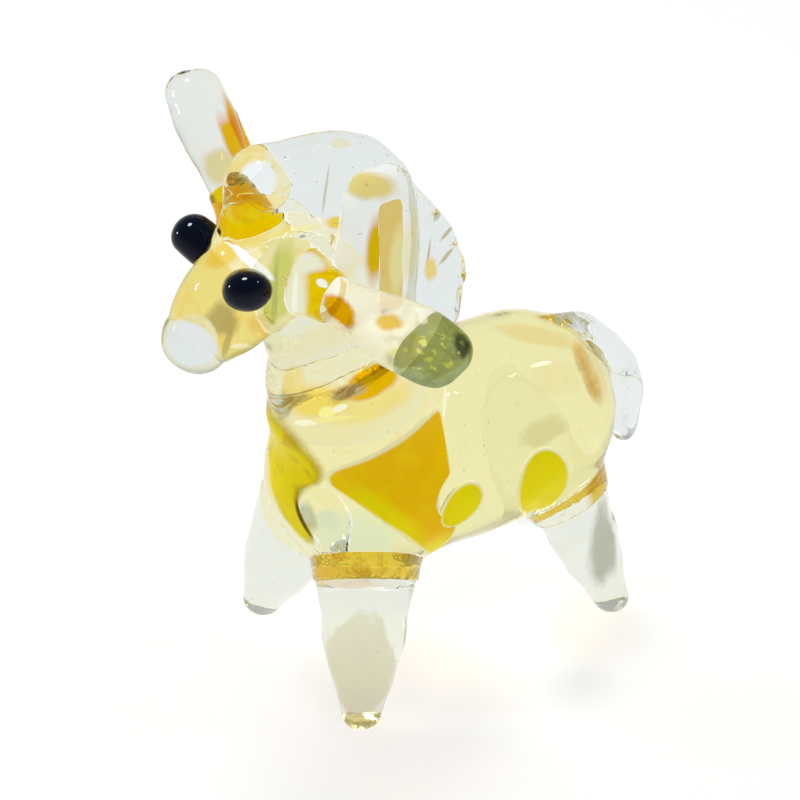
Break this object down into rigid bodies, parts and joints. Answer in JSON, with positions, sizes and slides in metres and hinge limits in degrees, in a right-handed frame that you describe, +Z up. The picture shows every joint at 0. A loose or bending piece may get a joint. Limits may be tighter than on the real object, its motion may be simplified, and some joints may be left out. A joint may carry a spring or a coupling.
{
  "type": "glass animal figurine",
  "caption": "Small flame-worked glass pony with a fan-shaped mane, ears held out sideways, cone legs, a hanging tail and opaque yellow spots.",
  "frame": {"origin": "middle of the animal's box in x and y, on the flat surface that its feet stand on", "axes": "+Z up from the feet to the mane, -Y to the nose, +X to the animal's left"},
  "size_m": [0.0202, 0.0268, 0.0317],
  "materials": {
    "clear_glass": "fire-polished clear glass",
    "pale_yellow_glass": "fire-polished pale yellow glass",
    "amber_glass": "fire-polished amber glass",
    "yellow_enamel": "opaque yellow glass, glossy",
    "orange_enamel": "opaque orange-yellow glass, glossy",
    "black_glass": "opaque blue-black glass, glossy",
    "green_glass": "fire-polished olive green glass with flecks"
  },
  "bodies": {
    "root": {"body": "pale_yellow_glass", "neck": "pale_yellow_glass", "neck_collar": "amber_glass", "head": "pale_yellow_glass", "muzzle_tip": "clear_glass", "left_eye": "black_glass", "right_eye": "black_glass", "left_ear_root": "amber_glass", "left_ear": "clear_glass", "left_ear_green_end": "green_glass", "right_ear_root": "amber_glass", "right_ear": "clear_glass", "right_ear_stripe": "amber_glass", "mane": "clear_glass", "mane_root_band": "amber_glass", "forelock": "clear_glass", "side_lock": "clear_glass", "side_lock_stripe": "amber_glass", "left_front_leg": "clear_glass", "left_front_leg_collar": "amber_glass", "right_front_leg": "clear_glass", "right_front_leg_collar": "amber_glass", "left_hind_leg": "clear_glass", "left_hind_leg_collar": "amber_glass", "right_hind_leg": "clear_glass", "right_hind_leg_collar": "amber_glass", "tail": "clear_glass", "shoulder_patch": "orange_enamel", "small_spot": "yellow_enamel", "flank_spot": "yellow_enamel", "chest_spot": "yellow_enamel", "rump_streak": "amber_glass"}
  },
  "joints": []
}
